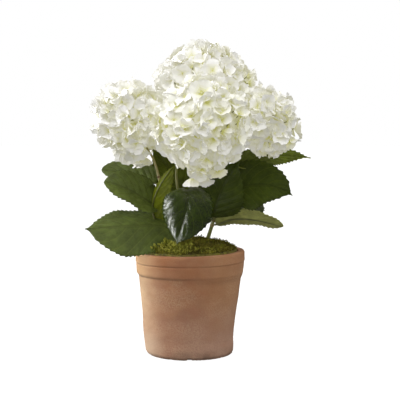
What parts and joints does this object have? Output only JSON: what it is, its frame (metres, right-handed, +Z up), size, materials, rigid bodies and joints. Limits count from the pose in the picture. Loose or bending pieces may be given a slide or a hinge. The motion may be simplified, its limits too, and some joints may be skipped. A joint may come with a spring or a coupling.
{
  "type": "artificial mophead hydrangea in a terracotta pot",
  "caption": "White mophead hydrangea with broad serrated leaves on upright stems, set in a moss mound in a banded round terracotta pot.",
  "frame": {"origin": "centre of the pot's flat underside, on the surface that it stands on", "axes": "+Z up along the pot's axis, -Y towards the front, where the largest flower head leans out, +X to the right seen from the front"},
  "size_m": [0.3869, 0.3547, 0.5415],
  "materials": {
    "terracotta": "unglazed, matt, weathered",
    "moss": "tufted, matt",
    "stem": "satin, slightly ribbed",
    "leaf": "coated fabric, satin to glossy",
    "young_leaf": "coated fabric, satin",
    "petal": "thin woven fabric, matt"
  },
  "bodies": {
    "root": {"pot": "terracotta", "moss_fill": "moss", "stem_left": "stem", "stem_top": "stem", "stem_front": "stem", "stem_right": "stem", "stem_back": "stem", "flower_head_left": "petal", "flower_head_top": "petal", "flower_head_front": "petal", "flower_head_right": "petal", "flower_head_back": "petal", "leaf_left_low": "leaf", "leaf_left_middle": "leaf", "leaf_left_upper": "leaf", "leaf_left_young": "young_leaf", "leaf_left_back": "leaf", "leaf_front_hanging": "leaf", "leaf_right_inner": "leaf", "leaf_right_large": "leaf", "leaf_right_low": "leaf", "leaf_right_upper": "leaf", "leaf_right_back": "leaf", "leaf_top_left": "leaf", "leaf_top_right": "leaf", "leaf_back_low": "leaf", "leaf_back_right": "leaf", "leaf_back_left": "leaf", "leaf_back_upper": "leaf"}
  },
  "joints": []
}
